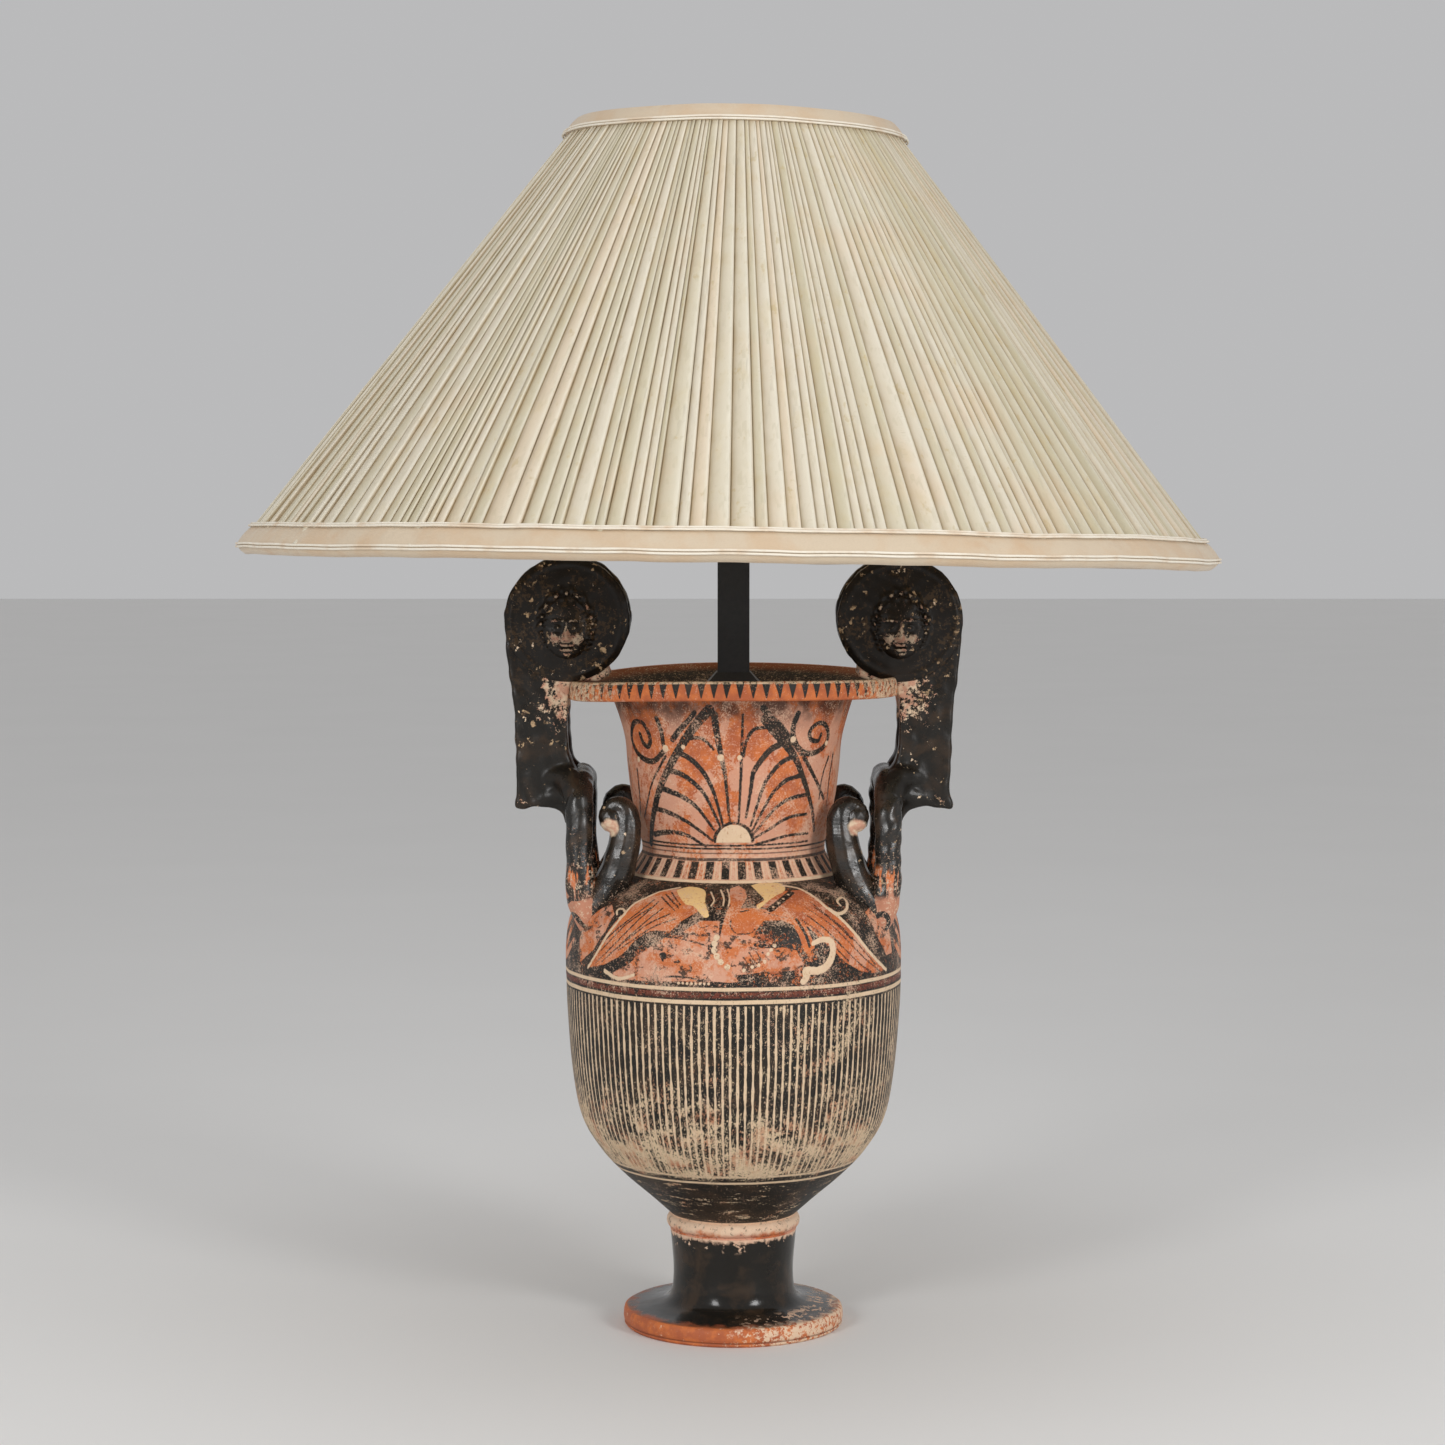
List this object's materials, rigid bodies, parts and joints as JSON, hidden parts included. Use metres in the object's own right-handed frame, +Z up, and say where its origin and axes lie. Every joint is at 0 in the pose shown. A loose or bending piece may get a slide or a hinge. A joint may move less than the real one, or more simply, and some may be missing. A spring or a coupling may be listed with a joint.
{
  "type": "amphora table lamp",
  "caption": "Footed clay vase with scroll handles and painted bands, wired as a table lamp with a square stem and a wide pleated shade that tilts and lifts off.",
  "frame": {"origin": "centre of the foot's underside, on the table", "axes": "+Z up along the vase's axis, the two handles along +X and -X, the main painted side and the mask fronts towards -Y"},
  "size_m": [0.6121, 0.612, 0.7599],
  "materials": {
    "black_glaze": "worn semi-gloss black glaze with clay showing at the edges",
    "bare_clay": "matt orange clay with a pale crust",
    "painted_clay": "orange clay painted in black and cream, worn",
    "black_iron": "matt black paint",
    "cork": "pressed cork",
    "black_rubber": "matt",
    "brass": "satin",
    "white_ceramic": "plain",
    "brown_plastic": "moulded gloss",
    "nickel": "rolled",
    "bulb_glass": "frosted",
    "frame_wire": "cream powder coat",
    "pleated_silk": "knife-pleated cream silk, aged",
    "lining_silk": "smooth lining",
    "silk_trim": "folded bias binding with white piping"
  },
  "bodies": {
    "vase": {"foot": "black_glaze", "foot_collar": "bare_clay", "bowl": "painted_clay", "shoulder": "painted_clay", "neck": "painted_clay", "lip": "painted_clay", "handle_loop_left": "black_glaze", "handle_loop_right": "black_glaze", "handle_strap_left": "black_glaze", "handle_strap_right": "black_glaze", "mask_front_left": "black_glaze", "mask_back_left": "black_glaze", "mask_front_right": "black_glaze", "mask_back_right": "black_glaze", "swan_front_left": "black_glaze", "swan_back_left": "black_glaze", "swan_front_right": "black_glaze", "swan_back_right": "black_glaze", "neck_cover": "black_iron", "neck_bung": "cork", "clamp_plate": "black_iron", "clamp_nut": "brass", "support_rod": "brass", "rod_nut": "brass", "rod_pad": "black_rubber", "stem": "black_iron", "stem_collar": "black_iron", "stem_cap": "black_iron", "nipple": "brass", "lock_nut": "brass", "cord_grommet": "black_rubber", "holder_cap": "brass", "holder_skirt": "brass", "holder_insert": "white_ceramic", "shade_carrier": "brass"},
    "switch": {"switch_bar": "brown_plastic"},
    "ring": {"shade_ring": "brass"},
    "bulb": {"bulb_cap": "nickel", "bulb_globe": "bulb_glass"},
    "gimbal": {"gimbal_ring": "brass"},
    "shade": {"gimbal_arms": "frame_wire", "shade_top_wire": "frame_wire", "shade_bottom_wire": "frame_wire", "shade_struts": "frame_wire", "shade_cover": "pleated_silk", "shade_lining": "lining_silk", "top_trim": "silk_trim", "bottom_trim": "silk_trim"}
  },
  "joints": [
    {"name": "switch_push", "type": "slide", "parent": "vase", "child": "switch", "axis": [1, 0, 0], "range_m": [0, 0.004]},
    {"name": "shade_ring_turn", "type": "hinge", "parent": "vase", "child": "ring", "pos_m": [0, 0, 0.5585], "axis": [0, 0, 1], "continuous": true},
    {"name": "bulb_twist", "type": "hinge", "parent": "vase", "child": "bulb", "pos_m": [0, 0, 0.56], "axis": [0, 0, 1], "range_deg": [0, 20]},
    {"name": "shade_lift", "type": "slide", "parent": "vase", "child": "gimbal", "axis": [0, 0, 1], "range_m": [0, 0.22]},
    {"name": "shade_tilt", "type": "hinge", "parent": "gimbal", "child": "shade", "pos_m": [0, 0, 0.684], "axis": [0.9998, 0, -0.0175], "range_deg": [-10.5, 13.5]}
  ]
}
